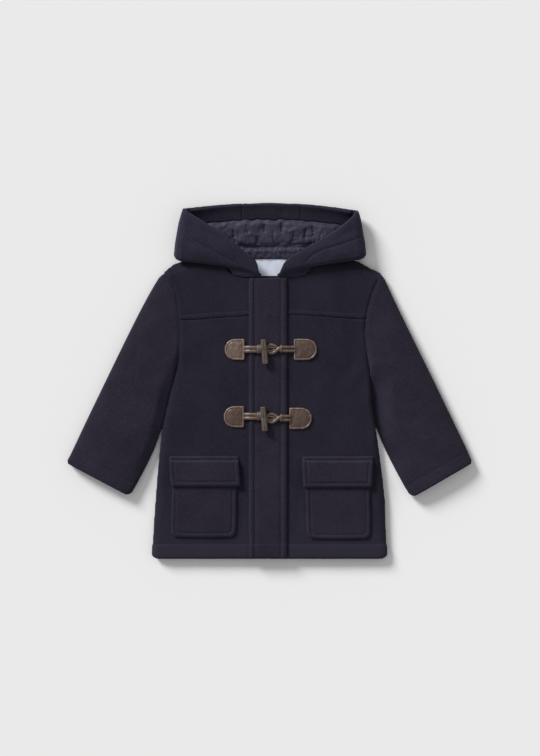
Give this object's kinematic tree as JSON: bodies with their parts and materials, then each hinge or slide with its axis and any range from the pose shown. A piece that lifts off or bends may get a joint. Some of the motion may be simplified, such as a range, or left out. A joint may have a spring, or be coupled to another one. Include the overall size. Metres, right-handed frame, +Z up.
{
  "type": "hooded duffle coat",
  "caption": "Baby's hooded duffle coat in felted wool, laid flat: stitched placket with toggles on leather patches, yoke, flap pockets and a quilted hood lining.",
  "frame": {"origin": "middle of the coat's bounding box, on the surface it lies on", "axes": "+X to the right of the coat as seen from above, +Y from hem to hood, +Z up through the fronts"},
  "size_m": [0.5876, 0.516, 0.0263],
  "materials": {
    "wool": "felted wool, matt, with a short nap",
    "lining": "quilted woven lining, soft sheen",
    "label": "woven satin, bare",
    "leather": "smooth brown leather, satin gloss",
    "toggle": "imitation horn, satin"
  },
  "bodies": {
    "root": {"back": "wool", "front_left": "wool", "front_right": "wool", "yoke_left": "wool", "yoke_right": "wool", "sleeve_left": "wool", "sleeve_right": "wool", "placket": "wool", "pocket_left": "wool", "pocket_right": "wool", "flap_left": "wool", "flap_right": "wool", "hood_left": "wool", "hood_right": "wool", "hood_gusset": "wool", "hood_facing": "wool", "hood_lining": "lining", "neck_label": "label", "patch_upper_left": "leather", "patch_upper_right": "leather", "patch_lower_left": "leather", "patch_lower_right": "leather", "strap_upper_left": "leather", "strap_upper_right": "leather", "strap_lower_left": "leather", "strap_lower_right": "leather", "loop_upper": "leather", "loop_lower": "leather", "toggle_upper": "toggle", "toggle_lower": "toggle"}
  },
  "joints": []
}
